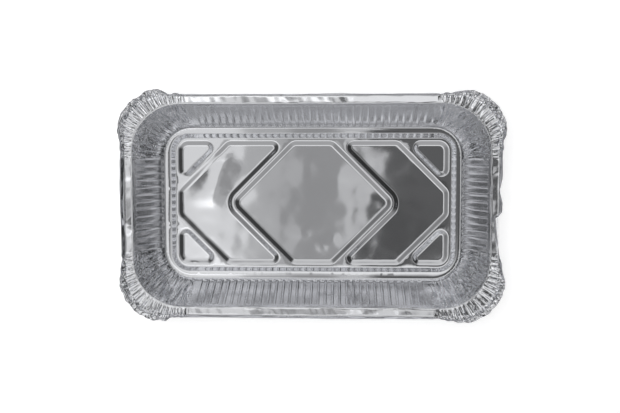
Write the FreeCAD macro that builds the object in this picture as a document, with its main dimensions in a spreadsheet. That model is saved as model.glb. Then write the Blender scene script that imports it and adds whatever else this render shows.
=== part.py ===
import FreeCAD, Part
import Sketcher
import math
import os

# Aluminium foil tray, pressed and folded from one sheet, in millimetres.
# The origin is at the middle of the base, +X along the length and +Z up.

sizes = {
    "foil_gauge": 0.12,       # thickness of the sheet
    "mouth_length": 305.0,    # inside length where the walls meet the shelf
    "mouth_width": 174.0,     # inside width there
    "mouth_corner": 41.0,     # corner radius there
    "wall_run": 18.7,         # how far each wall leans out from foot to mouth
    "floor_corner": 25.0,     # corner radius of the floor
    "shelf_height": 42.0,     # upper face of the shelf above the table
    "shelf_width": 7.0,       # flat shelf round the mouth
    "shelf_corner": 36.0,     # corner radius of the fold between shelf and lip
    "lip_height": 7.5,        # upstanding lip, along its slope
    "lip_lean": 2.0,          # degrees that the lip leans out on the straight sides
    "corner_flare": 50.0,     # degrees more that it leans out at the corners
    "hem_width": 3.6,         # edge of the sheet folded back down outside the lip
    "hem_gap": 0.5,           # spacing of the two layers of that fold
    "flute_pitch": 6.27,      # from one wall flute to the next
    "flute_width": 5.1,
    "flute_crest": 2.2,       # flat bottom of a flute
    "flute_depth": 1.0,
    "flute_end": 2.6,         # length of the sloping end of a flute
    "flute_low": 2.4,         # plain wall between the foot and the flutes
    "flute_high": 3.4,        # plain wall between the flutes and the mouth
    "long_margin": 8.4,       # plain wall beside the flutes on the long sides
    "short_margin": 2.4,      # the same on the short sides
    "pleats": 10.0,           # gathers at each corner
    "wall_pleat": 0.8,        # height of a gather half way up the wall
    "mouth_pleat": 0.3,       # the same at the mouth
    "shelf_pleat": 0.7,       # the same at the outer edge of the shelf
    "lip_pleat": 1.0,         # the same at the top of the lip
    "pleat_spread": 0.2,      # share of that height by which the gathers differ
    "rib_height": 2.2,        # raised ribs of the floor
    "rib_top": 2.4,
    "rib_bevel": 4.2,
    "ring_end_inset": 10.8,   # foot of a short wall to the middle of the outer rib
    "ring_side_inset": 11.2,  # the same at a long wall
    "ring_corner": 11.0,      # corner radius of the outer rib
    "corner_leg": 45.5,       # how much of the ring's corner a diagonal rib cuts off
    "diamond_half": 76.0,     # middle of the floor to the sharp tip of the inner ribs
    "diamond_round": 10.0,    # radius at that tip
    "seam_inset": 1.5,        # edge of the floor panel inside the foot of the wall
    "strip_width": 3.0,       # flat strip of the side sheet that the floor panel joins
}

doc = FreeCAD.newDocument("foil_tray")
sheet = doc.addObject("Spreadsheet::Sheet", "Sizes")
for row, (name, value) in enumerate(sizes.items(), start=1):
    sheet.set(f"A{row}", name)
    sheet.set(f"B{row}", str(value))
    sheet.setAlias(f"B{row}", name)
doc.recompute()

# Expressions that several features share
floor_length = "(Sizes.mouth_length - 2 * Sizes.wall_run)"
floor_width = "(Sizes.mouth_width - 2 * Sizes.wall_run)"
ring_half_length = f"({floor_length} / 2 - Sizes.ring_end_inset)"
ring_half_width = f"({floor_width} / 2 - Sizes.ring_side_inset)"
tip_start = f"(Sizes.diamond_half - {ring_half_width})"


def size(name):
    return float(sheet.get(name))


def value_of(expression):
    return float(sheet.evalExpression(expression))


def origin_plane(body, role):
    return next(item for item in body.Origin.OriginFeatures if item.Role == role)


def new_sketch(body, name, role, turn=0.0):
    """A sketch on a plane of the body, turned about its own upright axis."""
    sketch = body.newObject("Sketcher::SketchObject", name)
    sketch.AttachmentSupport = [(origin_plane(body, role), "")]
    sketch.MapMode = "FlatFace"
    upright = FreeCAD.Vector(0, 1, 0)
    sketch.AttachmentOffset = FreeCAD.Placement(FreeCAD.Vector(), FreeCAD.Rotation(upright, turn))
    return sketch


def place_sketch(sketch, x="0", y="0", z="0"):
    """Moves a sketch along its own plane's axes, by expressions."""
    for axis, expression in (("x", x), ("y", y), ("z", z)):
        sketch.setExpression(f"AttachmentOffset.Base.{axis}", expression)


def dimension(sketch, name, kind, where, expression):
    number = sketch.addConstraint(Sketcher.Constraint(kind, *where, value_of(expression)))
    sketch.renameConstraint(number, name)
    sketch.setExpression(f"Constraints.{name}", expression)


def add_line(sketch, start, end):
    line = Part.LineSegment(FreeCAD.Vector(*start, 0), FreeCAD.Vector(*end, 0))
    return sketch.addGeometry(line, False)


def add_arc(sketch, centre, radius, start, end):
    circle = Part.Circle(FreeCAD.Vector(*centre, 0), FreeCAD.Vector(0, 0, 1), radius)
    arc = Part.ArcOfCircle(circle, math.radians(start), math.radians(end))
    return sketch.addGeometry(arc, False)


def rounded_rectangle(sketch, length, width, radius):
    """Lines 0, 2, 4 and 6 with arcs between them, from the lower left on."""
    across, up, bend = value_of(length) / 2, value_of(width) / 2, value_of(radius)
    inner_x, inner_y = across - bend, up - bend
    add_line(sketch, (-inner_x, -up), (inner_x, -up))
    add_arc(sketch, (inner_x, -inner_y), bend, 270, 360)
    add_line(sketch, (across, -inner_y), (across, inner_y))
    add_arc(sketch, (inner_x, inner_y), bend, 0, 90)
    add_line(sketch, (inner_x, up), (-inner_x, up))
    add_arc(sketch, (-inner_x, inner_y), bend, 90, 180)
    add_line(sketch, (-across, inner_y), (-across, -inner_y))
    add_arc(sketch, (-inner_x, -inner_y), bend, 180, 270)
    for item in range(8):
        sketch.addConstraint(Sketcher.Constraint("Tangent", item, 2, (item + 1) % 8, 1))
    for line in (0, 4):
        sketch.addConstraint(Sketcher.Constraint("Horizontal", line))
    for line in (2, 6):
        sketch.addConstraint(Sketcher.Constraint("Vertical", line))
    for arc in (3, 5, 7):
        sketch.addConstraint(Sketcher.Constraint("Equal", 1, arc))
    sketch.addConstraint(Sketcher.Constraint("Symmetric", 0, 1, 4, 1, -1, 1))
    dimension(sketch, "length", "DistanceX", (6, 2, 2, 1), length)
    dimension(sketch, "width", "DistanceY", (0, 1, 4, 1), width)
    dimension(sketch, "corner", "Radius", (1,), radius)


def rib_section(sketch):
    """The rib's trapezium, standing on the sketch's horizontal axis."""
    foot = value_of("Sizes.rib_top / 2 + Sizes.rib_bevel")
    top = value_of("Sizes.rib_top / 2")
    rise = value_of("Sizes.rib_height")
    points = [(-foot, 0), (foot, 0), (top, rise), (-top, rise)]
    for start, end in zip(points, points[1:] + points[:1]):
        add_line(sketch, start, end)
    for line in range(4):
        sketch.addConstraint(Sketcher.Constraint("Coincident", line, 2, (line + 1) % 4, 1))
    for line in (0, 2):
        sketch.addConstraint(Sketcher.Constraint("Symmetric", line, 1, line, 2, -2))
    sketch.addConstraint(Sketcher.Constraint("PointOnObject", 0, 1, -1))
    dimension(sketch, "foot", "DistanceX", (0, 1, 0, 2), "Sizes.rib_top + 2 * Sizes.rib_bevel")
    dimension(sketch, "top", "DistanceX", (2, 2, 2, 1), "Sizes.rib_top")
    dimension(sketch, "rise", "DistanceY", (0, 2, 1, 2), "Sizes.rib_height")


def ring_path(sketch):
    rounded_rectangle(sketch, f"2 * {ring_half_length}", f"2 * {ring_half_width}", "Sizes.ring_corner")


def tip_path(sketch):
    """From the ring in to the rounded tip of the diamond and out again."""
    bend = value_of("Sizes.diamond_round")
    tip = value_of("Sizes.diamond_half")
    start = value_of(tip_start), value_of(ring_half_width)
    centre = tip - bend * math.sqrt(2)
    touch = centre + bend * math.cos(math.pi / 4), bend * math.sin(math.pi / 4)
    add_line(sketch, start, touch)
    add_arc(sketch, (centre, 0), bend, -45, 45)
    add_line(sketch, (touch[0], -touch[1]), (start[0], -start[1]))
    sketch.addConstraint(Sketcher.Constraint("Tangent", 0, 2, 1, 2))
    sketch.addConstraint(Sketcher.Constraint("Tangent", 1, 1, 2, 1))
    sketch.addConstraint(Sketcher.Constraint("Symmetric", 0, 1, 2, 2, -1))
    sketch.addConstraint(Sketcher.Constraint("PointOnObject", 1, 3, -1))
    sketch.addConstraint(Sketcher.Constraint("Angle", 0, -math.pi / 4))
    dimension(sketch, "start_x", "DistanceX", (0, 1), tip_start)
    dimension(sketch, "start_y", "DistanceY", (0, 1), ring_half_width)
    dimension(sketch, "tip", "Radius", (1,), "Sizes.diamond_round")


def diagonal_path(sketch):
    """Across one corner of the ring."""
    cut_x = f"{ring_half_length} - Sizes.corner_leg"
    cut_y = f"{ring_half_width} - Sizes.corner_leg"
    start = value_of(cut_x), value_of(ring_half_width)
    end = value_of(ring_half_length), value_of(cut_y)
    add_line(sketch, start, end)
    dimension(sketch, "start_x", "DistanceX", (0, 1), cut_x)
    dimension(sketch, "start_y", "DistanceY", (0, 1), ring_half_width)
    dimension(sketch, "end_x", "DistanceX", (0, 2), ring_half_length)
    dimension(sketch, "end_y", "DistanceY", (0, 2), cut_y)


# Each rib of the floor: its path, the plane of its section, the turn of that
# plane, and where the path starts as seen in that plane
ribs = {
    "ring": (ring_path, "YZ_Plane", 0, f"-{ring_half_width}", f"Sizes.ring_corner - {ring_half_length}"),
    "tip": (tip_path, "XZ_Plane", 45, tip_start, f"-{ring_half_width}"),
    "diagonal": (diagonal_path, "XZ_Plane", 45, f"{ring_half_length} - Sizes.corner_leg",
                 f"-{ring_half_width}"),
}


def press_ribs(body, face, kind, level):
    """Sweeps every rib at one level, then repeats the ribs of one quarter."""
    swept = {}
    for name, (path, role, turn, along, depth) in ribs.items():
        spine = new_sketch(body, f"{name}_{face}_path", "XY_Plane")
        path(spine)
        place_sketch(spine, z=level)
        section = new_sketch(body, f"{name}_{face}_section", role, turn)
        rib_section(section)
        place_sketch(section, x=along, y=level, z=depth)
        doc.recompute()
        pipe = body.newObject(f"PartDesign::{kind}Pipe", f"{name}_{face}")
        pipe.Profile = section
        pipe.Spine = spine
        doc.recompute()
        swept[name] = pipe
    mirrors = {"across": "YZ_Plane", "along": "XZ_Plane"}
    for name, used in (("tip", ["across"]), ("diagonal", ["across", "along"])):
        pattern = body.newObject("PartDesign::MultiTransform", f"{name}_{face}_copies")
        pattern.Originals = [swept[name]]
        steps = []
        for mirror in used:
            step = body.newObject("PartDesign::Mirrored", f"{name}_{face}_{mirror}")
            step.MirrorPlane = (origin_plane(body, mirrors[mirror]), [""])
            steps.append(step)
        pattern.Transformations = steps
        body.Tip = pattern
        doc.recompute()


# Floor panel: a flat plate with its ribs raised from below, one gauge thick
floor = doc.addObject("PartDesign::Body", "floor_panel")
plate_sketch = new_sketch(floor, "plate_outline", "XY_Plane")
rounded_rectangle(plate_sketch, f"{floor_length} - 2 * Sizes.seam_inset",
                  f"{floor_width} - 2 * Sizes.seam_inset", "Sizes.floor_corner - Sizes.seam_inset")
plate = floor.newObject("PartDesign::Pad", "plate")
plate.Profile = plate_sketch
plate.setExpression("Length", "Sizes.foil_gauge")
doc.recompute()
press_ribs(floor, "upper", "Additive", "Sizes.foil_gauge")
with_ribs = floor.Tip.Shape.Volume
press_ribs(floor, "under", "Subtractive", "0")
print("floor panel", round(plate.Shape.Volume), round(with_ribs), round(floor.Tip.Shape.Volume), "mm3")


# Side sheet: the foot, walls, shelf, lip and hem, one strip folded all the way
# round. It is described by its section, measured outwards from the foot.
foot, mouth, hem_edge = 1, 3, 7    # places in the section's list of points
gauge = size("foil_gauge")
height = size("shelf_height")
run = size("wall_run")
shelf = run + size("shelf_width")
corner_radii = [
    (-size("strip_width"), size("floor_corner") - size("strip_width")),
    (0.0, size("floor_corner")),
    (run, size("mouth_corner")),
    (shelf, size("shelf_corner")),
]


def corner_radius(out):
    """Corner radius of the sheet's outline at this distance from the foot."""
    for (near, near_radius), (far, far_radius) in zip(corner_radii, corner_radii[1:]):
        if out <= far:
            share = (out - near) / (far - near)
            return near_radius + share * (far_radius - near_radius)
    return far_radius + out - far


def on_corner(out, level, angle):
    """A point of the first quarter's corner, at this angle from +X."""
    radius = corner_radius(out)
    x = value_of(floor_length) / 2 + out - radius + radius * math.cos(angle)
    y = value_of(floor_width) / 2 + out - radius + radius * math.sin(angle)
    return FreeCAD.Vector(x, y, level)


def section_points(pleat, flare):
    """Upper face of the sheet as (out, level), from the strip to the hem's edge."""
    lean = math.radians(size("lip_lean") + flare * size("corner_flare"))
    along_lip = math.sin(lean), math.cos(lean)
    off_lip = math.cos(lean), -math.sin(lean)
    fold = shelf, height + pleat * size("shelf_pleat")
    lip = size("lip_height")
    bulge = pleat * size("lip_pleat")
    gap = size("hem_gap")
    hem = size("hem_width")
    top = tuple(fold[i] + lip * along_lip[i] + bulge * off_lip[i] for i in (0, 1))
    turned = tuple(top[i] + gap * off_lip[i] for i in (0, 1))
    edge = tuple(turned[i] - hem * along_lip[i] for i in (0, 1))
    middle = run / 2 + pleat * size("wall_pleat"), (gauge + height) / 2
    wall_top = run + pleat * size("mouth_pleat"), height
    return [(-size("strip_width"), gauge), (0.0, gauge), middle, wall_top, fold, top, turned, edge]


def under_points(points):
    """The same section one gauge lower, with mitred bends."""
    offsets = []
    for start, end in zip(points, points[1:]):
        run_out, rise = end[0] - start[0], end[1] - start[1]
        length = math.hypot(run_out, rise)
        offsets.append((rise / length, -run_out / length))
    moved = []
    for number, point in enumerate(points):
        before = offsets[max(number - 1, 0)]
        after = offsets[min(number, len(offsets) - 1)]
        mitre = gauge / (1 + before[0] * after[0] + before[1] * after[1])
        moved.append(tuple(point[i] + mitre * (before[i] + after[i]) for i in (0, 1)))
    return moved


def corner_stations():
    """Both faces of the sheet at each fold of one corner, from +X round to +Y."""
    steps = 2 * int(size("pleats"))
    spread = size("pleat_spread")
    beat = 2.3    # radians from one fold to the next, so that neighbours differ
    stations = []
    for step in range(steps + 1):
        angle = math.pi / 2 * step / steps
        flare = math.sin(2 * angle) if step < steps else 0.0
        side = 1 if step % 2 else -1
        pleat = side * math.sqrt(flare) * (1 - spread + spread * math.sin(beat * step))
        upper = section_points(pleat, flare)
        under = under_points(upper)
        stations.append([[on_corner(*point, angle) for point in face] for face in (upper, under)])
    return stations


def mirrored(stations, across, along):
    """The corner's stations in another quarter, still counter-clockwise."""
    def move(point):
        return FreeCAD.Vector(across * point.x, along * point.y, point.z)
    moved = [[[move(point) for point in face] for face in station] for station in stations]
    return moved if across * along > 0 else moved[::-1]


def polygon(points):
    return Part.makePolygon(list(points) + [points[0]])


def facets(near, far):
    """The face between two folds, as two triangles."""
    return [Part.Face(polygon([near[0], near[1], far[1]])), Part.Face(polygon([near[0], far[1], far[0]]))]


def fluted_wall(start, end, outline, shift, margin):
    """One face of a straight wall between its two end folds, with its flutes."""
    foot_start, foot_end = start[foot], end[foot]
    along = (foot_end - foot_start).normalize()
    slope = start[mouth] - foot_start
    up = (slope - along * slope.dot(along)).normalize()
    outward = up.cross(along)
    if outward.z > 0:
        outward = -outward
    wall_height = slope.dot(up)
    middle = (foot_start + foot_end) / 2 + outward * shift
    space = (foot_end - foot_start).Length - 2 * margin
    count = int(space / size("flute_pitch") + 0.001)    # a whole number of pitches counts in full
    flank = (size("flute_width") - size("flute_crest")) / 2
    low, high = size("flute_low"), wall_height - size("flute_high")
    faces, holes = [], []
    for number in range(count):
        centre = (number - (count - 1) / 2) * size("flute_pitch")
        left, right = centre - size("flute_width") / 2, centre + size("flute_width") / 2
        end_length = size("flute_end")
        depth = size("flute_depth")

        def at(across, rise, deep):
            return middle + along * across + up * rise + outward * deep
        rim = [at(left, low, 0), at(right, low, 0), at(right, high, 0), at(left, high, 0)]
        crest = [
            at(left + flank, low + end_length, depth),
            at(right - flank, low + end_length, depth),
            at(right - flank, high - end_length, depth),
            at(left + flank, high - end_length, depth),
        ]
        faces.append(Part.Face(polygon(crest)))
        for side in range(4):
            after = (side + 1) % 4
            faces.append(Part.Face(polygon([rim[side], rim[after], crest[after], crest[side]])))
        holes.append(polygon(rim))
    faces.append(Part.makeFace([polygon(outline)] + holes, "Part::FaceMakerBullseye"))
    return faces


def corner_faces(stations):
    """Both faces of a gathered corner, and its inner and outer edges."""
    faces = []
    for near, far in zip(stations, stations[1:]):
        for near_face, far_face in zip(near, far):
            for band in range(hem_edge):
                faces += facets(near_face[band:band + 2], far_face[band:band + 2])
        for edge in (0, hem_edge):
            faces += facets([near[0][edge], near[1][edge]], [far[0][edge], far[1][edge]])
    return faces


def straight_faces(start, end, margin):
    """The same between two corners, with the flutes in the wall."""
    faces = []
    folds = [0, foot, mouth] + list(range(mouth + 1, hem_edge + 1))
    for start_face, end_face, shift in ((start[0], end[0], 0.0), (start[1], end[1], gauge)):
        for low, high in zip(folds, folds[1:]):
            outline = start_face[low:high + 1] + end_face[low:high + 1][::-1]
            if low == foot:
                faces += fluted_wall(start[0], end[0], outline, shift, margin)
            else:
                faces.append(Part.Face(polygon(outline)))
    for edge in (0, hem_edge):
        outline = [start[0][edge], end[0][edge], end[1][edge], start[1][edge]]
        faces.append(Part.Face(polygon(outline)))
    return faces


def side_sheet():
    """The folded strip as one closed solid."""
    quarter = corner_stations()
    corners = [mirrored(quarter, 1, 1), mirrored(quarter, -1, 1),
               mirrored(quarter, -1, -1), mirrored(quarter, 1, -1)]
    margins = [size("long_margin"), size("short_margin")] * 2
    faces = []
    for corner, following, margin in zip(corners, corners[1:] + corners[:1], margins):
        faces += corner_faces(corner)
        faces += straight_faces(corner[-1], following[0], margin)
    shell = Part.makeShell(faces)
    shell.sewShape()
    solid = Part.makeSolid(shell)
    if solid.Volume < 0:
        solid.reverse()
    return solid


sides = doc.addObject("Part::Feature", "side_sheet")
sides.Shape = side_sheet()

tray = doc.addObject("Part::Fuse", "Tray")
tray.Label = "foil_tray"
tray.Base = floor
tray.Tool = sides
tray.Refine = True
doc.recompute()

for item in doc.Objects:
    if "Invalid" in item.State or "Error" in item.State:
        raise RuntimeError(f"{item.Name} failed: {item.State}")
shape = tray.Shape
if shape.isNull() or not shape.isValid() or len(shape.Solids) != 1:
    raise RuntimeError("the tray isn't one valid solid")

box = shape.BoundBox
print("tray", round(shape.Volume), "mm3,", len(shape.Faces), "faces,",
      round(box.XLength, 1), "x", round(box.YLength, 1), "x", round(box.ZLength, 1), "mm")
os.makedirs("parts", exist_ok=True)
shape.exportStep(f"parts/{tray.Label}.step")
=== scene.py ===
import math
import bpy
import numpy as np
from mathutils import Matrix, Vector
from mathutils.geometry import delaunay_2d_cdt


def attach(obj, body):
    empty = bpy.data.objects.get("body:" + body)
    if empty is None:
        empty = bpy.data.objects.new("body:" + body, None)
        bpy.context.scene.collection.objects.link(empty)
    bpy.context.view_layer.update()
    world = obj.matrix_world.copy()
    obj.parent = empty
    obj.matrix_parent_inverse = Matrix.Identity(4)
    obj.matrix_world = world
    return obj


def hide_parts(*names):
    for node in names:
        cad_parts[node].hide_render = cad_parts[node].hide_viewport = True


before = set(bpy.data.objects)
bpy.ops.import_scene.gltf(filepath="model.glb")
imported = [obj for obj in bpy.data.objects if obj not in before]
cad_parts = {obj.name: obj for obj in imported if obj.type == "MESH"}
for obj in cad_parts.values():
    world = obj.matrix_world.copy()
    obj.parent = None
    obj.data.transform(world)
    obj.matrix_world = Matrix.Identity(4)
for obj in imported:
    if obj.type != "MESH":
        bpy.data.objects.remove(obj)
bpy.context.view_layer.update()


def linearColour(hexCode):
    channels = [int(hexCode[i:i + 2], 16) / 255 for i in (1, 3, 5)]
    return [c / 12.92 if c <= 0.04045 else ((c + 0.055) / 1.055) ** 2.4 for c in channels] + [1.0]


# Camera: straight down into the tray from about 0.7 m, a little up and right of its middle
cameraSetup = {
    "place": (0.02452, 0.04271, 0.70355),
    "turn": (-0.0645, 0.0373, 0.0),
    "lens": 45.26,
    "sensor": 36.0,
    "clipEnd": 20,
}
camera = bpy.data.objects.new("camera", bpy.data.cameras.new("camera"))
camera.location = cameraSetup["place"]
camera.rotation_euler = cameraSetup["turn"]
camera.data.lens = cameraSetup["lens"]
camera.data.sensor_width = cameraSetup["sensor"]
camera.data.clip_end = cameraSetup["clipEnd"]
bpy.context.scene.collection.objects.link(camera)
bpy.context.scene.camera = camera
print("camera placed")


# The tray's form in millimetres, as the frame has it. The sides are numbered round from the
# one at +X, so 1 is at +Y, 2 at -X and 3 at -Y, and a corner has the number of the side before it
tray = {
    "foil": 0.12,
    "floorHalfLength": 133.8,
    "floorHalfWidth": 68.3,
    "wallRun": 18.7,
    "shelfHeight": 42.0,
    "shelfWidth": 7.0,
    "beadHeight": 0.32,       # small raised line along the mouth
    "beadWidth": 1.1,
    "beadGroove": 0.04,       # how far the shelf dips behind it
    "cornerStops": (-3.0, 0.0, 18.7, 25.7),     # distance out from the foot of the wall
    "cornerRadii": (22.0, 25.0, 41.0, 36.0),    # corner radius of the sheet there
    "cornerFade": 10,         # stretch beside a corner where its gathers die out
    "lipHeight": 7.5,
    "hemWidth": 3.6,
    "hemGap": 0.5,
    "footBend": 0.75,
    "mouthBend": 0.55,
    "shelfBend": 0.8,
    "seed": 41,
}
flutes = {
    "pitch": 6.27,
    "counts": (13, 32),       # on a short side and on a long one
    "width": (6.27, 6.27, 6.27, 5.5),
    "flank": (1.63, 1.63, 1.63, 1.2),
    # depth near the foot and near the mouth, on each side, and how far from each that is
    "depth": [(0.95, 0.85), (0.95, 0.5), (0.95, 0.85), (0.9, 0.7)],
    "depthPlaces": (8, 6),
    "lowEnd": 1.4,            # plain wall below and above a flute
    "highEnd": 3.6,
    "placeJitter": 0.12,
    "depthJitter": 0.08,
}
mesh = {
    # places of columns across one flute, from its centre, on each side
    "inFlute": [(-3.135, -2.3, -1.5, 0, 1.5, 2.3)] * 3 + [(-3.135, -2.55, -1.75, 0, 1.75, 2.55)],
    "margins": (4, 9),        # columns between the last flute and the corner, short and long sides
    "cornerSteps": 92,
    "firstRow": -2.4,         # where the side sheet starts, from the foot of the wall
    "wallRows": [1.3, 1.8, 2.4, 3.2, 4.6, 8.0, 14.0, 20.5, 27.5, 34.0, 39.2, 40.6, 41.8, 42.7, 44.2],
    # rows of the other stretches of the section, as shares of each
    "footShares": (0, 0.3, 0.6, 1),
    "mouthShares": (0, 0.33, 0.67, 1),
    "shelfShares": (0.0, 0.1, 0.4, 0.7),
    "foldShares": (0, 0.5, 1),
    "topTurns": (0, math.pi / 2, math.pi),
    "hemShares": (0.5, 1.0),
    "fillSpacing": 3.7,
    "fillRowShare": 0.87,
    "fillHalf": (132, 67),
    "fillJitter": 0.25,
    "fillClear": 1.75,        # kept free beside the outlines
    "facetFrom": 0.55,        # share of a corner from which the folds are drawn as flat facets
}
rng = np.random.default_rng(tray["seed"])


def softField(count, shortest, longest):
    # Smooth random relief: this many waves, from shortest to longest in millimetres, in all
    # directions. Each "waves" in the dictionaries gives these three
    turn = rng.uniform(0, 2 * math.pi, count)
    number = 2 * math.pi / rng.uniform(shortest, longest, count)
    phase = rng.uniform(0, 2 * math.pi, count)
    scale = math.sqrt(2 / count)

    def field(x, y):
        total = np.zeros_like(x)
        for k in range(count):
            total += np.sin(number[k] * (x * math.cos(turn[k]) + y * math.sin(turn[k])) + phase[k])
        return total * scale
    return field


def smooth(share):
    share = np.clip(share, 0, 1)
    return share * share * (3 - 2 * share)


def creased(along, step=0.15):
    # Folds from -1 to 1, one a unit: a triangle wave with a small step halfway up each flank
    wave = np.abs((along % 1.0) * 2 - 1)
    return np.sqrt((wave - 0.5) ** 2 * 4 + step ** 2) * np.sign(wave - 0.5)


def cornerRadius(out):
    stops, radii = tray["cornerStops"], tray["cornerRadii"]
    return np.interp(out, stops, radii) + np.maximum(out - stops[-1], 0)


# Columns of the side sheet, counter-clockwise round the tray from the +X wall, each as side,
# whether it is in a corner, place along the side, share of the margin and angle in the corner
columns = []
for number in range(4):
    count = flutes["counts"][number % 2]
    reach = count * flutes["pitch"] / 2
    centres = (np.arange(count) - (count - 1) / 2) * flutes["pitch"]
    places = np.append((centres[:, None] + np.array(mesh["inFlute"][number])[None, :]).ravel(), reach)
    margin = mesh["margins"][number % 2]
    shares = np.arange(1, margin + 1) / (margin + 1)
    columns += [(number, 0, -reach, share, 0.0) for share in shares[::-1]]
    columns += [(number, 0, place, 0.0, 0.0) for place in places]
    columns += [(number, 0, reach, share, 0.0) for share in shares]
    columns += [(number, 1, 0.0, 0.0, k / mesh["cornerSteps"] * math.pi / 2)
                for k in range(mesh["cornerSteps"] + 1)]
columns = np.array(columns)
columnCount = len(columns)
side = columns[:, 0].astype(int)
isCorner = columns[:, 1] > 0.5
alongFixed, marginShare, cornerAngle = columns[:, 2], columns[:, 3], columns[:, 4]
isFluted = ~isCorner & (marginShare == 0)
isLong = side % 2 == 1
halfHere = np.where(isLong, tray["floorHalfWidth"], tray["floorHalfLength"])
halfAcross = np.where(isLong, tray["floorHalfLength"], tray["floorHalfWidth"])
sideTurn = side * math.pi / 2


def planPoint(out):
    # Where the sheet lies, seen from above, at this distance out from the foot. Beyond the
    # mouth the columns of a corner go on straight out from the centre of the mouth's arc
    radius = cornerRadius(out)
    mouthOut = np.minimum(out, tray["wallRun"])
    arc = cornerRadius(mouthOut)
    centreAlong = halfAcross[:, None] + mouthOut - arc
    centreOut = halfHere[:, None] + mouthOut - arc
    sine, cosine = np.sin(cornerAngle)[:, None], np.cos(cornerAngle)[:, None]
    extent = arc + out - mouthOut
    inset = extent - radius
    onArc = (sine + cosine) * inset
    reach = onArc + np.sqrt(np.maximum(onArc ** 2 - 2 * inset ** 2 + radius ** 2, 0))
    steeper, flatter = np.maximum(sine, cosine), np.minimum(sine, cosine)
    reach = np.where(extent * flatter / steeper < inset, extent / steeper, reach)
    place = alongFixed[:, None]
    straightAlong = place + marginShare[:, None] * (np.sign(place) * centreAlong - place)
    along = np.where(isCorner[:, None], centreAlong + reach * sine, straightAlong)
    outward = np.where(isCorner[:, None], centreOut + reach * cosine, halfHere[:, None] + out)
    turnCosine, turnSine = np.cos(sideTurn)[:, None], np.sin(sideTurn)[:, None]
    return outward * turnCosine - along * turnSine, outward * turnSine + along * turnCosine


# Running length round the tray at the mouth, and how much of a corner each column is
mouthX, mouthY = planPoint(np.full((columnCount, 1), tray["wallRun"]))
mouthX, mouthY = mouthX[:, 0], mouthY[:, 0]
gap = np.hypot(np.diff(mouthX, append=mouthX[:1]), np.diff(mouthY, append=mouthY[:1]))
around = np.concatenate([[0], np.cumsum(gap)[:-1]])
perimeter = gap.sum()
cornerStart = halfAcross + tray["wallRun"] - cornerRadius(tray["wallRun"])
towardsCorner = marginShare * (np.sign(alongFixed) * cornerStart - alongFixed)
sideAlong = np.where(isCorner, 0.0, alongFixed + towardsCorner)
fromCorner = (cornerStart - np.abs(sideAlong)) / tray["cornerFade"]
intoCorner = np.where(isCorner, 1.0, 1 - smooth(fromCorner))
print("columns", columnCount)

# The rim, as it was bent by hand: places are degrees round a corner or millimetres along a side
rim = {
    # degrees that the lip leans out
    "leanAtCorner": [
        [(0, 3), (8, 8), (22, 46), (40, 60), (62, 48), (80, 12), (90, 2)],
        [(0, 2), (10, 14), (22, 55), (40, 44), (58, 78), (68, 40), (80, 10), (90, 4)],
        [(0, 4), (12, 18), (25, 46), (45, 54), (65, 50), (80, 16), (90, 3)],
        [(0, 3), (12, 22), (28, 66), (45, 70), (62, 74), (78, 24), (90, 4)],
    ],
    "leanAtSide": [
        [(-80, 3), (-48, 2), (-38, -12), (-22, -30), (-9, -44), (-6, 5), (4, 8), (14, -14), (26, 6), (80, 3)],
        [(-130, 2), (130, 2)],
        [(-80, 4), (-20, 10), (0, 14), (30, 6), (80, 4)],
        [(-130, 2), (-40, 4), (20, 6), (130, 2)],
    ],
    # millimetres that the shelf rises outwards
    "riseAtCorner": [[(0, 0.6), (90, 0.6)]] * 4,
    "riseAtSide": [
        [(-80, 0.5), (-14, 0.4), (-8, 0.3), (25, 0.3), (30, 0.6), (80, 0.7)],
        [(-130, 1.5), (-40, 1.5), (-30, 0.7), (46, 0.6), (52, 0.1), (61, 0.1), (66, 0.6), (130, 0.5)],
        [(-80, 0.0), (-34, 0.0), (-30, 0.6), (-10, 0.6), (-3, 1.3), (16, 1.3), (23, 0.1), (80, 0.1)],
        [(-130, 0.5), (-60, 0.6), (30, 1.0), (60, 1.8), (130, 1.8)],
    ],
    "joinColumns": 9,
    "knobWaves": (14, 4, 11),
    "knobLean": 4,            # degrees more or less at the knobs of a corner
    "heightWaves": (14, 3, 8),
    "heightShare": 0.03,      # of the lip's height, more or less in a corner
    "heightForRise": 0.9,     # lost by the lip for each millimetre that the shelf rises
}


def alongTheRim(atCorner, atSide):
    # Reads the tables for every column, joined softly from one to the next
    found = np.zeros(columnCount)
    for number in range(4):
        here = isCorner & (side == number)
        places, values = zip(*atCorner[number])
        found[here] = np.interp(np.degrees(cornerAngle[here]), places, values)
        here = ~isCorner & (side == number)
        places, values = zip(*atSide[number])
        found[here] = np.interp(sideAlong[here], places, values)
    kernel = np.hanning(rim["joinColumns"])
    kernel /= kernel.sum()
    half = rim["joinColumns"] // 2
    return np.convolve(np.concatenate([found[-half:], found, found[:half]]), kernel, "valid")


knobs = intoCorner * softField(*rim["knobWaves"])(around, 0 * around)
lean = np.radians(alongTheRim(rim["leanAtCorner"], rim["leanAtSide"]) + rim["knobLean"] * knobs)
uneven = intoCorner * softField(*rim["heightWaves"])(around, 0 * around)
shelfRise = alongTheRim(rim["riseAtCorner"], rim["riseAtSide"])
lipHeight = tray["lipHeight"] * (1 + rim["heightShare"] * uneven) - rim["heightForRise"] * shelfRise

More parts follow.
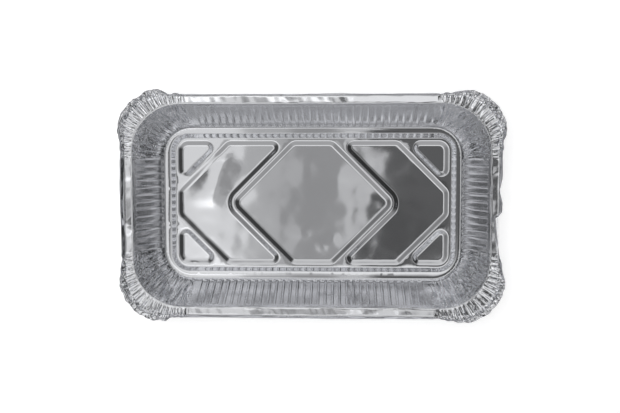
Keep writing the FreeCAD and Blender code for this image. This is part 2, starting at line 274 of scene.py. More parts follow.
# Gathers: the foil that the corners can't take up lies in irregular folds, and on the rims
# in narrow pleats
gathers = {
    "fineFold": 2.7,          # millimetres round the tray from fold to fold
    "fineDepth": 0.4,
    "fineWander": 1.5,
    "fineWaves": (10, 8, 30),
    "fineUp": 1.7,            # how much faster than round the tray a fold wanders up the wall
    "coarseFold": 4.9,
    "coarseDepth": 0.65,
    "coarseWander": 2.2,
    "coarseWaves": (10, 30, 90),
    "coarseUp": 0.8,
    "brokenShare": (0.5, 0.9),
    "brokenWaves": (16, 5, 14),
    "brokenUp": 0.45,
    "roughness": 0.06,
    "endSharpness": 0.6,      # how soon the folds start and end, up the wall
    "pleatColumns": [2, 2, 3, 4],
    "pleatHeight": (0.35, 1.0),
    "pleatSoftening": 0.15,   # share that each neighbouring column has in a pleat
    "pleatFade": 1.5,
    "lipFollows": (0.5, 0.6),  # shares of the shelf's pleats and of its own in the lip's
    # how far the pleats push each row: at the mouth, on the shelf by the bead and what is
    # added up to the fold, at the fold, and at the hem
    "mouth": 0.04,
    "shelf": (0.2, 1.1),
    "fold": 1.0,
    "hem": 0.2,
    # rows of the lip: share of its height, push of the pleats and of a ridge along the corner
    "lip": [(0.3, 1.0, 0.7), (0.48, 1.0, -0.6), (0.56, 0.8, -0.1), (0.8, 0.8, -0.1)],
}


def between(start, end, share):
    return [start[i] + share * (end[i] - start[i]) for i in (0, 1)]


def bend(before, corner, after, trim, shares):
    # Points of a rounded fold of the section, from trim before the corner to trim after it
    towards = [corner[i] - before[i] for i in (0, 1)]
    away = [after[i] - corner[i] for i in (0, 1)]
    lengthIn, lengthOut = np.hypot(*towards), np.hypot(*away)
    start = [corner[i] - trim * towards[i] / lengthIn for i in (0, 1)]
    end = [corner[i] + trim * away[i] / lengthOut for i in (0, 1)]
    return [[(1 - u) ** 2 * start[i] + 2 * u * (1 - u) * corner[i] + u * u * end[i] for i in (0, 1)]
            for u in shares]


# The section's corners, each as distance out from the foot and height, for every column
one = np.ones(columnCount)
floorStart = (mesh["firstRow"] * one, tray["foil"] * one)
foot = (0 * one, tray["foil"] * one)
mouth = (tray["wallRun"] * one, (tray["shelfHeight"] + tray["beadHeight"]) * one)
groove = ((tray["wallRun"] + tray["beadWidth"]) * one, (tray["shelfHeight"] - tray["beadGroove"]) * one)
fold = ((tray["wallRun"] + tray["shelfWidth"]) * one, tray["shelfHeight"] + shelfRise)
lipDirection = (np.sin(lean), np.cos(lean))
lipNormal = (np.cos(lean), -np.sin(lean))
lipTop = [fold[i] + lipHeight * lipDirection[i] for i in (0, 1)]
wallLength = math.hypot(tray["wallRun"], tray["shelfHeight"] - tray["foil"])
rows = []


def addRow(point, kind, slope=0.0, pleat=0.0, ridge=0.0):
    rows.append((point[0] * one, point[1] * one, kind, slope, pleat, ridge))


# Rows of the side sheet, from the floor up over the lip to the hem's edge
addRow(floorStart, "floor")
for point in bend(floorStart, foot, mouth, tray["footBend"], mesh["footShares"]):
    addRow(point, "foot")
for slope in mesh["wallRows"]:
    addRow(between(foot, mouth, slope / wallLength), "wall", slope)
for point in bend(foot, mouth, groove, tray["mouthBend"], mesh["mouthShares"]):
    addRow(point, "mouth", pleat=gathers["mouth"])
atBead, gained = gathers["shelf"]
for share in mesh["shelfShares"]:
    addRow(between(groove, fold, share), "shelf", pleat=atBead + gained * share)
for point in bend(groove, fold, lipTop, tray["shelfBend"], mesh["foldShares"]):
    addRow(point, "fold", pleat=gathers["fold"])
for share, pleat, ridge in gathers["lip"]:
    addRow([fold[i] + share * lipHeight * lipDirection[i] for i in (0, 1)], "lip", pleat=pleat, ridge=ridge)
half = tray["hemGap"] / 2
for turn in mesh["topTurns"]:
    overTop = [half * (math.sin(turn) * lipDirection[i] - math.cos(turn) * lipNormal[i]) for i in (0, 1)]
    addRow([lipTop[i] + half * lipNormal[i] + overTop[i] for i in (0, 1)], "top", pleat=gathers["hem"])
for share in mesh["hemShares"]:
    down = share * tray["hemWidth"]
    addRow([lipTop[i] + tray["hemGap"] * lipNormal[i] - down * lipDirection[i] for i in (0, 1)],
           "hem", pleat=gathers["hem"])
out, level = [np.stack([row[i] for row in rows], axis=1) for i in (0, 1)]
kinds, slopes, pleatReach, ridges = [np.array([row[i] for row in rows]) for i in (2, 3, 4, 5)]
rowCount = len(rows)
wallRow = kinds == "wall"
print("rows", rowCount)

# Direction square to the section at every row, pointing out and down
stepOut, stepUp = np.gradient(out, axis=1), np.gradient(level, axis=1)
stepLength = np.hypot(stepOut, stepUp)
normalOut, normalUp = stepUp / stepLength, -stepOut / stepLength

# Flutes pressed outwards into the straight walls, with rounded ends
push = np.zeros((columnCount, rowCount))
for number in range(4):
    halfWidth = flutes["width"][number] / 2
    count = flutes["counts"][number % 2]
    spread = rng.normal(0, flutes["placeJitter"], count)
    strength = 1 + rng.normal(0, flutes["depthJitter"], count)
    here = np.where((side == number) & isFluted)[0]
    index = alongFixed[here] / flutes["pitch"] + (count - 1) / 2
    nearest = np.clip(np.round(index), 0, count - 1).astype(int)
    fromCentre = (index - nearest) * flutes["pitch"] + spread[nearest]
    pastLow = flutes["lowEnd"] + halfWidth - slopes
    pastHigh = slopes - (wallLength - flutes["highEnd"] - halfWidth)
    pastEnd = np.maximum(np.maximum(pastLow, pastHigh), 0)
    lobe = smooth((halfWidth - np.hypot(fromCentre[:, None], pastEnd[None, :])) / flutes["flank"][number])
    fromFoot, fromMouth = flutes["depthPlaces"]
    depth = np.interp(slopes, (fromFoot, wallLength - fromMouth), flutes["depth"][number])
    push[here] += np.where(wallRow[None, :], depth[None, :] * strength[nearest][:, None] * lobe, 0)

# Folds of the corners' walls
heightShare = np.clip(slopes / wallLength, 0, 1)
wanderCoarse = softField(*gathers["coarseWaves"])
wanderFine = softField(*gathers["fineWaves"])
grid = np.broadcast_to(around[:, None], out.shape)
upTheWall = np.broadcast_to(slopes[None, :], out.shape)
fineAlong = grid + gathers["fineWander"] * wanderFine(grid, upTheWall * gathers["fineUp"])
coarseAlong = grid + gathers["coarseWander"] * wanderCoarse(grid, upTheWall * gathers["coarseUp"])
folds = gathers["fineDepth"] * creased(fineAlong / gathers["fineFold"])
folds += gathers["coarseDepth"] * creased(coarseAlong / gathers["coarseFold"])
middle, swing = gathers["brokenShare"]
brokenField = softField(*gathers["brokenWaves"])
broken = smooth(middle + swing * brokenField(grid, upTheWall * gathers["brokenUp"]))
wallArch = np.where(wallRow, np.sin(heightShare * math.pi), 0)
gatherOnWall = intoCorner[:, None] * wallArch[None, :] ** gathers["endSharpness"]
push += gatherOnWall * (broken * folds + rng.normal(0, gathers["roughness"], push.shape))


def pleatHeights():
    # Narrow pleats two to four columns wide, up and down by turns
    heights = np.zeros(columnCount)
    place, turned = 0, 1
    while place < columnCount:
        width = int(rng.choice(gathers["pleatColumns"]))
        heights[place:place + width] = turned * rng.uniform(*gathers["pleatHeight"])
        place, turned = place + width, -turned
    beside = gathers["pleatSoftening"]
    return (1 - 2 * beside) * heights + beside * np.roll(heights, 1) + beside * np.roll(heights, -1)


# The lip's pleats partly follow the shelf's
shelfPleat, lipPleat = pleatHeights(), pleatHeights()
ofShelf, ofLip = gathers["lipFollows"]
lipPleat = ofShelf * shelfPleat + ofLip * lipPleat
belowLip = np.isin(kinds, ["mouth", "shelf", "fold"])
rimPleat = np.where(belowLip[None, :], shelfPleat[:, None], lipPleat[:, None])
push += intoCorner[:, None] ** gathers["pleatFade"] * (rimPleat * pleatReach[None, :] + ridges[None, :])

# Slack in the straight rims and walls
slack = {
    "waves": (16, 14, 60),
    "rims": 0.22,
    "walls": 0.1,
    "wallStretch": 0.8,
    "rippleWaves": (14, 5, 14),
    "ripples": 0.06,
    "rippleUp": 0.5,
    "mouthShare": 0.4,
}
slackField = softField(*slack["waves"])
rippleField = softField(*slack["rippleWaves"])
onRim = np.isin(kinds, ["shelf", "fold", "lip", "top", "hem"])
rimRow = np.where(kinds == "mouth", slack["mouthShare"], onRim)
ripples = slack["ripples"] * rippleField(grid, (level + out) * slack["rippleUp"])
push += rimRow[None, :] * (slack["rims"] * slackField(grid, level + out) + ripples)
push += wallArch[None, :] * slack["walls"] * slackField(grid * slack["wallStretch"], upTheWall)

out = out + push * normalOut
level = level + push * normalUp
sideX, sideY = planPoint(out)
sidePoints = np.stack([sideX, sideY, level], axis=2).reshape(-1, 3)
print("side sheet", len(sidePoints), "points")


# Floor: flat panels with raised ribs between them. Outlines run along each line of their flanks
ribs = {
    "halfLength": 123.0,      # middle of the floor to the middle of the outer rib
    "halfWidth": 57.1,
    "height": 2.2,
    "top": 2.4,
    "bevel": 4.2,
    "edge": 0.5,              # half the rounding along a bevel's edges
    "flatLine": 1.3,          # from the rib's foot to the first line of points on the panel
    "cornerLeg": 45.5,        # from the outer rib's corner to where the slanting rib meets it
    "diamondHalf": 76.0,      # middle of the floor to the point of the middle rib
    "triangleRadii": [2.4, 5.0, 2.4],
    "chevronRadii": [4, 4, 4, 2.0, 15.5, 2.0, 4],
    "hexagonRadii": [4.5, 5, 5, 4.5, 5, 5],
    "ringRadius": 16,
    "step": 3.2,              # spacing of mesh points along a rib
    "arcStep": 1.3,           # and round a panel's corner
    "arcOutside": 2,          # how far out from that corner the arc step is measured
    "offset": (0.8, 0.6),     # the press sits a little off the tray's middle
}


def roundedOutline(corners, radii, grow):
    # A polygon with rounded corners, moved out by this distance, with the same number of
    # points at every distance
    corners = np.array(corners, float)
    count = len(corners)
    directions = np.roll(corners, -1, axis=0) - corners
    lengths = np.linalg.norm(directions, axis=1)
    directions /= lengths[:, None]
    lineNormals = np.stack([directions[:, 1], -directions[:, 0]], axis=1)
    arcs, trims = [], []
    for k in range(count):
        before, after = directions[k - 1], directions[k]
        turn = math.atan2(before[0] * after[1] - before[1] * after[0], before @ after)
        trims.append(radii[k] * math.tan(abs(turn) / 2))
        normalSum = lineNormals[k - 1] + lineNormals[k]
        place = corners[k] + grow * normalSum / (1 + lineNormals[k - 1] @ lineNormals[k])
        radius = radii[k] + (grow if turn > 0 else -grow)
        arcStart = place - before * radius * math.tan(abs(turn) / 2)
        centre = arcStart + np.array([-before[1], before[0]]) * radius * np.sign(turn)
        start = math.atan2(*(arcStart - centre)[::-1])
        steps = max(3, round(abs(turn) * (radii[k] + ribs["arcOutside"]) / ribs["arcStep"]))
        angles = [start + turn * i / steps for i in range(steps + 1)]
        arcs.append([centre + radius * np.array([math.cos(angle), math.sin(angle)]) for angle in angles])
    points = []
    for k in range(count):
        following = (k + 1) % count
        points += arcs[k]
        start, end = arcs[k][-1], arcs[following][0]
        steps = max(1, round((lengths[k] - trims[k] - trims[following]) / ribs["step"]))
        points += [start + (end - start) * i / steps for i in range(1, steps)]
    return np.array(points) + np.array(ribs["offset"])


def mirrored(corners, radii, signX, signY):
    # Mirrored once, an outline is read backwards, so that it stays counter-clockwise
    corners = [(signX * x, signY * y) for x, y in corners]
    return (corners[::-1], radii[::-1]) if signX * signY < 0 else (corners, radii)


# Panels meet a rib at its foot. endX and endY are the outer edges of the panels at the ends
# and along the sides. On a slanting edge x + y is slantOut, slantIn, diamondEdge or hexagonEdge
ribHalf = ribs["top"] / 2 + ribs["bevel"]
endX, endY = ribs["halfLength"] - ribHalf, ribs["halfWidth"] - ribHalf
slantMiddle = ribs["halfLength"] + ribs["halfWidth"] - ribs["cornerLeg"]
slantHalf = ribHalf * math.sqrt(2)
slantOut, slantIn = slantMiddle + slantHalf, slantMiddle - slantHalf
diamondEdge, hexagonEdge = ribs["diamondHalf"] + slantHalf, ribs["diamondHalf"] - slantHalf
triangle = [(endX, slantOut - endX), (endX, endY), (slantOut - endY, endY)]
chevron = [(endX, endX - slantIn), (endX, slantIn - endX), (slantIn - endY, endY),
           (diamondEdge - endY, endY), (diamondEdge, 0), (diamondEdge - endY, -endY),
           (slantIn - endY, -endY)]
hexagon = [(hexagonEdge, 0), (hexagonEdge - endY, endY), (endY - hexagonEdge, endY),
           (-hexagonEdge, 0), (endY - hexagonEdge, -endY), (hexagonEdge - endY, -endY)]
panels = [mirrored(triangle, ribs["triangleRadii"], signX, signY)
          for signX, signY in ((1, 1), (-1, 1), (-1, -1), (1, -1))]
panels += [mirrored(chevron, ribs["chevronRadii"], signX, 1) for signX in (1, -1)]
panels.append((hexagon, ribs["hexagonRadii"]))
ringX, ringY = ribs["halfLength"] + ribHalf, ribs["halfWidth"] + ribHalf
ring = ([(ringX, -ringY), (ringX, ringY), (-ringX, ringY), (-ringX, -ringY)], [ribs["ringRadius"]] * 4)
flankLines = [-ribs["edge"], 0, ribs["edge"], ribs["bevel"] / 2, ribs["bevel"] - ribs["edge"],
              ribs["bevel"], ribs["bevel"] + ribs["edge"]]


def ribHeight(distance):
    # Height of a rib's flank this far in from its foot, with its two edges rounded
    half = ribs["edge"]

    def rounded(d):
        return d if d > half else (max(d, -half) + half) ** 2 / (4 * half)
    return ribs["height"] / ribs["bevel"] * (rounded(distance) - rounded(distance - ribs["bevel"]))


floorXy, floorZ, floorEdges = [], [], []


def addLoop(points, height):
    start = sum(len(part) for part in floorXy)
    count = len(points)
    floorXy.append(points)
    floorZ.append(np.full(count, height))
    floorEdges.extend((start + i, start + (i + 1) % count) for i in range(count))


for panel in panels:
    for distance in [-ribs["flatLine"]] + flankLines:
        addLoop(roundedOutline(*panel, distance), ribHeight(distance))
for distance in flankLines:
    addLoop(roundedOutline(*ring, -distance), ribHeight(distance))
rimStart = sum(len(part) for part in floorXy)
rimLoop = np.stack([sideX[:, 0], sideY[:, 0]], axis=1)
addLoop(rimLoop, 0.0)


def insidePolygon(points, polygon):
    inside = np.zeros(len(points), bool)
    x, y = points[:, 0], points[:, 1]
    for (x1, y1), (x2, y2) in zip(polygon, np.roll(polygon, -1, axis=0)):
        crosses = (y1 > y) != (y2 > y)
        if abs(y2 - y1) > 1e-9:
            inside ^= crosses & (x < (x2 - x1) * (y - y1) / (y2 - y1) + x1)
    return inside


# Dents of the floor, all upwards and gentle, so that it stands flat: a bent patch in the left
# panel, as y with its two edges in x, and shallow bumps, each as x, y, radius and height
dents = {
    "bumps": [(53, 7, 5, 0.12), (-9, -26, 8, 0.3), (-32, -14, 9, 0.2), (19, -32, 4, 0.25),
              (9, -40, 4, 0.25), (-6, 31, 11, 0.26), (22, 20, 9, 0.2), (-45, 6, 10, 0.2),
              (-90, -30, 7, 0.2), (33, -8, 8, 0.18), (36, 50, 16, 0.4), (36, -50, 16, 0.3)],
    "patchEdges": [(-6.8, -89, -86.4), (-2.3, -90.9, -81), (5, -90, -78.2), (12.2, -88.2, -72.8),
                   (19.4, -85.5, -70.1), (26.6, -83.7, -64.7), (32, -81.4, -62.9),
                   (37.4, -79.2, -66.5), (42.8, -73, -72.6)],
    "patchSlope": 0.066,
    "patchFade": 30,
    "patchStart": 14,         # stretch in y over which the patch rises
    "creaseStep": 1.8,
    "creaseHalf": 0.5,
    "swell": 0.05,
    "swellWaves": (18, 26, 60),
    "waviness": 0.012,
    "wavinessWaves": (18, 9, 20),
    "edgeFade": 12,
}
spacing = mesh["fillSpacing"]
halfX, halfY = mesh["fillHalf"]
fillX, fillY = np.meshgrid(np.arange(-halfX, halfX, spacing),
                           np.arange(-halfY, halfY, spacing * mesh["fillRowShare"]))
fillX[1::2] += spacing / 2
fill = np.stack([fillX.ravel(), fillY.ravel()], axis=1)
fill += rng.uniform(-mesh["fillJitter"], mesh["fillJitter"], fill.shape) * spacing
patchY, patchLeft, patchRight = zip(*dents["patchEdges"])
edgeY = np.arange(patchY[0], patchY[-1], dents["creaseStep"])
creaseLines = [np.stack([np.interp(edgeY, patchY, edge) + shift, edgeY], axis=1)
               for edge in (patchLeft, patchRight)
               for shift in (-dents["creaseHalf"], dents["creaseHalf"])]
linePoints = np.concatenate(floorXy + creaseLines)
clearance = np.array([np.min(np.hypot(*(linePoints - point).T)) for point in fill])
fill = fill[(clearance > mesh["fillClear"]) & insidePolygon(fill, rimLoop)]
fill = np.concatenate([fill] + creaseLines)
onPanel = ~insidePolygon(fill, roundedOutline(*ring, 0))
for panel in panels:
    onPanel |= insidePolygon(fill, roundedOutline(*panel, 0))
floorXy.append(fill)
floorZ.append(np.where(onPanel, 0.0, ribs["height"]))
floorXy = np.concatenate(floorXy)
floorZ = np.concatenate(floorZ) + tray["foil"]

# No outline crosses another, so every point of the solved floor is one of those given
insideOnly, tolerance = 1, 1e-6
solved = delaunay_2d_cdt([tuple(point) for point in floorXy.tolist()], floorEdges, [],
                         insideOnly, tolerance, True)
floorFaces, sources = solved[2], [ids[0] for ids in solved[3]]
print("floor", len(sources), "points,", len(floorFaces), "faces")

atX, atY = floorXy[:, 0], floorXy[:, 1]
swell = softField(*dents["swellWaves"])
waviness = softField(*dents["wavinessWaves"])
fromEdge = np.minimum(tray["floorHalfLength"] - np.abs(atX), tray["floorHalfWidth"] - np.abs(atY))
dent = dents["swell"] * np.abs(swell(atX, atY)) + dents["waviness"] * (1 + waviness(atX, atY))
dent *= smooth(fromEdge / dents["edgeFade"])
for x, y, radius, high in dents["bumps"]:
    dent += high * np.exp(-((atX - x) ** 2 + (atY - y) ** 2) / radius ** 2)
leftEdge, rightEdge = np.interp(atY, patchY, patchLeft), np.interp(atY, patchY, patchRight)
crest = dents["patchSlope"] * (rightEdge - leftEdge)
crest *= smooth((atY - patchY[0]) / dents["patchStart"]) * (atY < patchY[-1])
rising = smooth((atX - leftEdge + dents["patchFade"]) / dents["patchFade"])
falling = np.clip((rightEdge - atX) / (rightEdge - leftEdge), 0, 1)
dent += crest * np.where(atX < leftEdge, rising, falling)
floorZ = floorZ + np.maximum(dent, 0)

# One upper skin: the side sheet's points, then the floor's, which share the sheet's first row
newIds, floorPoints = [], []
for source in sources:
    if rimStart <= source < rimStart + columnCount:
        newIds.append((source - rimStart) * rowCount)
    else:
        newIds.append(len(sidePoints) + len(floorPoints))
        floorPoints.append((*floorXy[source], floorZ[source]))
upper = np.concatenate([sidePoints, np.array(floorPoints)])
count = len(upper)
faces = [[newIds[i] for i in face] for face in floorFaces]
for i in range(columnCount):
    here, following = i * rowCount, (i + 1) % columnCount * rowCount
    faces += [[here + k, here + k + 1, following + k + 1, following + k] for k in range(rowCount - 1)]


def meshFrom(name, millimetres, faces):
    made = bpy.data.meshes.new(name)
    made.from_pydata([tuple(point) for point in (millimetres / 1000).tolist()], [], faces)
    return made


builder = meshFrom("upperSkin", upper, faces)
builder.update()
normals = np.zeros(count * 3, np.float32)
builder.vertices.foreach_get("normal", normals)
normals = normals.reshape(-1, 3)
print("upper skin", count, "points; floor faces up", float(np.mean(normals[len(sidePoints):, 2])))

# The under side is the same sheet one gauge away, joined to it along the hem's edge
allFaces = faces + [[i + count for i in face[::-1]] for face in faces]
for i in range(columnCount):
    edge = i * rowCount + rowCount - 1
    following = (i + 1) % columnCount * rowCount + rowCount - 1
    allFaces.append([edge, edge + count, following + count, following])
foilMesh = meshFrom("pressedFoilTray", np.concatenate([upper, upper - normals * tray["foil"]]), allFaces)
foilMesh.validate()
foilMesh.update()

# The gathered corners and the fluted walls are small flat facets, with hard folds between
# them, and the rest of the foil is smooth
foldedRow = np.isin(kinds, ["wall", "shelf", "fold", "lip"])
faceted = (intoCorner[:, None] > mesh["facetFrom"]) & foldedRow[None, :-1]
faceted |= isFluted[:, None] & wallRow[None, :-1]
smoothFaces = np.ones(len(foilMesh.polygons), bool)
for start in (len(floorFaces), len(faces) + len(floorFaces)):
    smoothFaces[start:start + faceted.size] = ~faceted.ravel()
foilMesh.polygons.foreach_set("use_smooth", smoothFaces)
trayPiece = bpy.data.objects.new("pressedFoilTray", foilMesh)
bpy.context.scene.collection.objects.link(trayPiece)
print("foil tray", sum(len(face.vertices) - 2 for face in foilMesh.polygons), "triangles")

# How much the material's creases and scuffs show at each point, by the kind of its row
wear = {
    "gathered": {"floor": 0.0, "foot": 0.2, "wall": 0.7, "rims": 0.3},
    "rumpled": {"floor": 0.0, "foot": 0.0, "wall": 1.0, "rims": 0.25},
}
for name, sideShare in (("gathered", intoCorner), ("rumpled", 1 - intoCorner)):
    rowShare = np.array([wear[name].get(kind, wear[name]["rims"]) for kind in kinds])
    values = np.zeros(count)
    values[:len(sidePoints)] = (sideShare[:, None] * rowShare[None, :]).ravel()
    layer = foilMesh.attributes.new(name, "FLOAT", "POINT")
    layer.data.foreach_set("value", np.tile(values, 2).astype(np.float32))

# Millimetres of sheet round the tray and up its section, as the map of the material
upSection = np.cumsum(np.hypot(np.diff(out.mean(axis=0)), np.diff(level.mean(axis=0))))
upSection = np.concatenate([[0], upSection])
sheetU = np.concatenate([np.repeat(around, rowCount), upper[len(sidePoints):, 0]])
sheetV = np.concatenate([np.tile(upSection, columnCount), upper[len(sidePoints):, 1]])
corners = np.zeros(len(foilMesh.loops), np.int32)
foilMesh.loops.foreach_get("vertex_index", corners)
corners %= count
cornerU = sheetU[corners]
# The faces that close the ring of columns run on past the perimeter
lastColumn = len(floorFaces) + (columnCount - 1) * (rowCount - 1)
for start in (lastColumn, lastColumn + len(faces)):
    for face in foilMesh.polygons[start:start + rowCount - 1]:
        for corner in face.loop_indices:
            if corners[corner] < rowCount:
                cornerU[corner] += perimeter
sheetMap = foilMesh.uv_layers.new(name="sheet")
sheetMap.uv.foreach_set("vector", np.stack([cornerU, sheetV[corners]], axis=1).ravel().astype(np.float32))


# Materials
def addNode(nodes, kind, inputs=None, **settings):
    node = nodes.new(kind)
    for name, value in settings.items():
        setattr(node, name, value)
    for name, value in (inputs or {}).items():
        if isinstance(value, bpy.types.NodeSocket):
            node.id_data.links.new(value, node.inputs[name])
        else:
            node.inputs[name].default_value = value
    return node


def emptyMaterial(name):
    material = bpy.data.materials.new(name)
    material.use_nodes = True
    material.node_tree.nodes.clear()
    return material, material.node_tree.nodes


# Rolled aluminium foil, bright side up: a cool pale mirror, slightly hazed by rolling, with
# sharp little creases where the corners are gathered
foilFinish = {
    "colour": "#E3E4E7",
    "roughness": (0.08, 0.26),     # flat floor and gathers, and the walls that the press has scuffed
    "streakSpacing": (3.2, 11.0),  # millimetres round the tray and up the wall
    "crumpleSpacing": 2.4,         # drawn coarser than real, which is too fine to show
    "wanderScale": 0.05,           # slow drift of the creases, and how many millimetres it takes them
    "wanderReach": 4.0,
    "handlingScale": 0.35,
    "streakHeight": 0.36,
    "crumpleHeight": 0.18,
    "handlingHeight": 0.03,
}


def rolledAluminiumFoil():
    material, nodes = emptyMaterial("rolledAluminiumFoil")
    sheet = addNode(nodes, "ShaderNodeUVMap", uv_map="sheet").outputs["UV"]
    gathered = addNode(nodes, "ShaderNodeAttribute", attribute_name="gathered").outputs["Fac"]
    rumpled = addNode(nodes, "ShaderNodeAttribute", attribute_name="rumpled").outputs["Fac"]
    wander = addNode(nodes, "ShaderNodeTexNoise", {
        "Vector": sheet, "Scale": foilFinish["wanderScale"], "Detail": 2.0}, noise_dimensions="2D")
    drift = addNode(nodes, "ShaderNodeVectorMath", {
        0: wander.outputs["Color"], "Scale": foilFinish["wanderReach"]}, operation="SCALE")
    drifted = addNode(nodes, "ShaderNodeVectorMath", {
        0: sheet, 1: drift.outputs["Vector"]}, operation="ADD")
    across, up = foilFinish["streakSpacing"]
    stretched = addNode(nodes, "ShaderNodeMapping", {
        "Vector": drifted.outputs["Vector"], "Scale": (1 / across, 1 / up, 1)})
    streaks = addNode(nodes, "ShaderNodeTexVoronoi", {
        "Vector": stretched.outputs["Vector"], "Scale": 1.0}, voronoi_dimensions="2D", feature="F1")
    crumple = addNode(nodes, "ShaderNodeTexVoronoi", {
        "Vector": drifted.outputs["Vector"], "Scale": 1 / foilFinish["crumpleSpacing"]},
        voronoi_dimensions="2D", feature="F1")
    handling = addNode(nodes, "ShaderNodeTexNoise", {
        "Vector": sheet, "Scale": foilFinish["handlingScale"], "Detail": 3.0, "Roughness": 0.6},
        noise_dimensions="2D")
    streakRelief = addNode(nodes, "ShaderNodeMath", {
        0: streaks.outputs["Distance"], 1: foilFinish["streakHeight"]}, operation="MULTIPLY")
    creases = addNode(nodes, "ShaderNodeMath", {
        0: crumple.outputs["Distance"], 1: foilFinish["crumpleHeight"],
        2: streakRelief.outputs["Value"]}, operation="MULTIPLY_ADD")
    atCorners = addNode(nodes, "ShaderNodeMath", {
        0: creases.outputs["Value"], 1: gathered}, operation="MULTIPLY")
    slight = addNode(nodes, "ShaderNodeMath", {
        0: rumpled, 1: handling.outputs["Fac"]}, operation="MULTIPLY")
    relief = addNode(nodes, "ShaderNodeMath", {
        0: slight.outputs["Value"], 1: foilFinish["handlingHeight"],
        2: atCorners.outputs["Value"]}, operation="MULTIPLY_ADD")
    bump = addNode(nodes, "ShaderNodeBump", {
        "Height": relief.outputs["Value"], "Strength": 1.0, "Distance": 0.001})
    smoothest, dullest = foilFinish["roughness"]
    haze = addNode(nodes, "ShaderNodeMapRange", {
        "Value": rumpled, "To Min": smoothest, "To Max": dullest})
    shader = addNode(nodes, "ShaderNodeBsdfPrincipled", {
        "Base Color": linearColour(foilFinish["colour"]),
        "Metallic": 1.0,
        "Roughness": haze.outputs["Result"],
        "Normal": bump.outputs["Normal"],
    })
    addNode(nodes, "ShaderNodeOutputMaterial", {"Surface": shader.outputs["BSDF"]})
    return material


foilMesh.materials.append(rolledAluminiumFoil())
print("foil finished")
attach(trayPiece, "root")
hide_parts("foil_tray")


# Studio: pale table, soft boxes overhead and a tent of pale and dark cloth round them
studio = {
    "table": "#F2F2F2",
    "tableGlow": 0.42,
    "tableHalf": 20.0,
    # name, place, aim, size, brightness, whether metal shows it
    "softboxes": [
        ("overheadLeft", (-0.39, 0.03, 1.5), (-0.39, 0.03, 0.0), (0.28, 0.8), 0.72, True),
        ("overheadMiddle", (-0.18, 0.03, 1.5), (-0.18, 0.03, 0.0), (0.14, 0.8), 0.4, True),
        ("overheadGap", (-0.045, 0.03, 1.5), (-0.045, 0.03, 0.0), (0.13, 0.8), 0.26, True),
        ("overheadRight", (0.067, 0.03, 1.5), (0.067, 0.03, 0.0), (0.094, 0.8), 0.52, True),
        ("overheadTip", (0.132, 0.02, 1.5), (0.132, 0.02, 0.0), (0.036, 0.13), 0.52, True),
        ("tableLight", (-0.5, 0.4, 2.2), (0.0, 0.0, 0.0), (1.4, 1.4), 2.6, False),
    ],
    # degrees from straight overhead, and how bright the tent is there on each side
    "tent": {
        "left": [(0, 0.08), (17, 0.08), (20, 0.6), (36, 0.6), (43, 0.3), (49, 0.2), (54, 0.07),
                 (66, 0.07), (69, 0.8), (76, 0.8), (80, 0.1), (85, 0.08), (87, 0.85), (90, 0.95)],
        "right": [(0, 0.12), (20, 0.14), (25, 0.5), (33, 0.5), (39, 0.06), (59, 0.03), (67, 0.08),
                  (71, 0.9), (78, 0.9), (82, 0.08), (85, 0.08), (87, 0.85), (90, 0.95)],
        "back": [(0, 0.06), (11, 0.08), (16, 0.7), (34, 0.8), (40, 0.7), (46, 0.65), (51, 0.22),
                 (53, 0.12), (55, 0.12), (58, 1.0), (73, 1.0), (79, 0.12), (85, 0.08), (87, 0.85),
                 (90, 0.95)],
        "front": [(0, 0.06), (10, 0.1), (15, 0.95), (38, 0.95), (44, 0.45), (62, 0.42), (66, 0.15),
                  (71, 0.9), (78, 0.9), (83, 0.12), (85, 0.08), (87, 0.85), (90, 0.95)],
    },
    # side to side, then the back panel and the front panel over it: the heading's axis, where
    # the change starts and ends, and what it changes from, None being what is there, and to
    "joins": [
        ("X", -0.35, 0.35, "left", "right"),
        ("Y", 0.74, 0.94, None, "back"),
        ("Y", -0.3, -0.95, None, "front"),
    ],
}


def paleTable():
    # The glow shows in the picture and in the metal, and lights nothing
    material, nodes = emptyMaterial("paleTable")
    path = addNode(nodes, "ShaderNodeLightPath")
    matt = addNode(nodes, "ShaderNodeBsdfDiffuse", {"Color": linearColour(studio["table"])})
    glow = addNode(nodes, "ShaderNodeEmission", {"Color": (1, 1, 1, 1), "Strength": studio["tableGlow"]})
    both = addNode(nodes, "ShaderNodeAddShader", {0: matt.outputs["BSDF"], 1: glow.outputs["Emission"]})
    direct = addNode(nodes, "ShaderNodeMath", {
        0: path.outputs["Is Camera Ray"], 1: path.outputs["Is Glossy Ray"]}, operation="ADD")
    shown = addNode(nodes, "ShaderNodeMath", {
        0: direct.outputs["Value"], 1: path.outputs["Is Transmission Ray"]},
        operation="ADD", use_clamp=True)
    seen = addNode(nodes, "ShaderNodeMixShader", {
        "Fac": shown.outputs["Value"], 1: matt.outputs["BSDF"], 2: both.outputs["Shader"]})
    addNode(nodes, "ShaderNodeOutputMaterial", {"Surface": seen.outputs["Shader"]})
    return material


half = studio["tableHalf"]
tableMesh = bpy.data.meshes.new("table")
tableMesh.from_pydata([(-half, -half, 0), (half, -half, 0), (half, half, 0), (-half, half, 0)],
                      [], [(0, 1, 2, 3)])
tableMesh.materials.append(paleTable())
table = bpy.data.objects.new("table", tableMesh)
bpy.context.scene.collection.objects.link(table)
print("table laid")

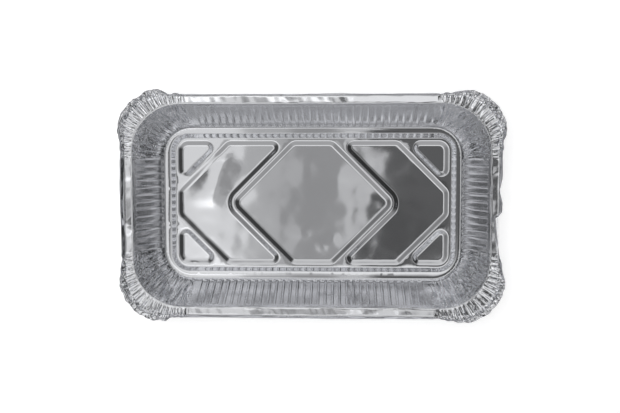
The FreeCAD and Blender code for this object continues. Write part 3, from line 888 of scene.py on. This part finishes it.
for name, place, aim, size, brightness, inMetal in studio["softboxes"]:
    light = bpy.data.lights.new(name, "AREA")
    light.shape = "RECTANGLE"
    light.size, light.size_y = size
    light.energy = brightness * math.pi * size[0] * size[1]
    lamp = bpy.data.objects.new(name, light)
    lamp.location = place
    lamp.rotation_euler = (Vector(aim) - Vector(place)).to_track_quat("-Z", "Y").to_euler()
    lamp.visible_glossy = inMetal
    bpy.context.scene.collection.objects.link(lamp)

world = bpy.data.worlds.new("studio")
world.use_nodes = True
nodes = world.node_tree.nodes
nodes.clear()
direction = addNode(nodes, "ShaderNodeTexCoord")
parts = addNode(nodes, "ShaderNodeSeparateXYZ", {"Vector": direction.outputs["Generated"]})
flat = addNode(nodes, "ShaderNodeCombineXYZ", {"X": parts.outputs["X"], "Y": parts.outputs["Y"]})
heading = addNode(nodes, "ShaderNodeVectorMath", {0: flat.outputs["Vector"]}, operation="NORMALIZE")
turned = addNode(nodes, "ShaderNodeSeparateXYZ", {"Vector": heading.outputs["Vector"]})
cloth = {}
for name, stops in studio["tent"].items():
    ramp = addNode(nodes, "ShaderNodeValToRGB", {"Fac": parts.outputs["Z"]})
    elements = ramp.color_ramp.elements
    places = [(max(0.0, math.cos(math.radians(tilt))), value) for tilt, value in stops][::-1]
    elements[0].position, elements[1].position = places[0][0], places[-1][0]
    for place, value in places[1:-1]:
        elements.new(place)
    for element, (place, value) in zip(elements, places):
        element.color = (value, value, value, 1)
    cloth[name] = ramp.outputs["Color"]
seen = None
for axis, low, high, below, above in studio["joins"]:
    share = addNode(nodes, "ShaderNodeMapRange", {
        "Value": turned.outputs[axis], "From Min": low, "From Max": high},
        interpolation_type="SMOOTHSTEP")
    mixed = addNode(nodes, "ShaderNodeMix", {
        0: share.outputs["Result"], 6: cloth[below] if below else seen, 7: cloth[above]},
        data_type="RGBA")
    seen = mixed.outputs[2]
sky = addNode(nodes, "ShaderNodeBackground", {"Color": seen, "Strength": 1.0})
addNode(nodes, "ShaderNodeOutputWorld", {"Surface": sky.outputs["Background"]})
bpy.context.scene.world = world
bpy.context.scene.view_settings.view_transform = "Standard"
print("studio lit")
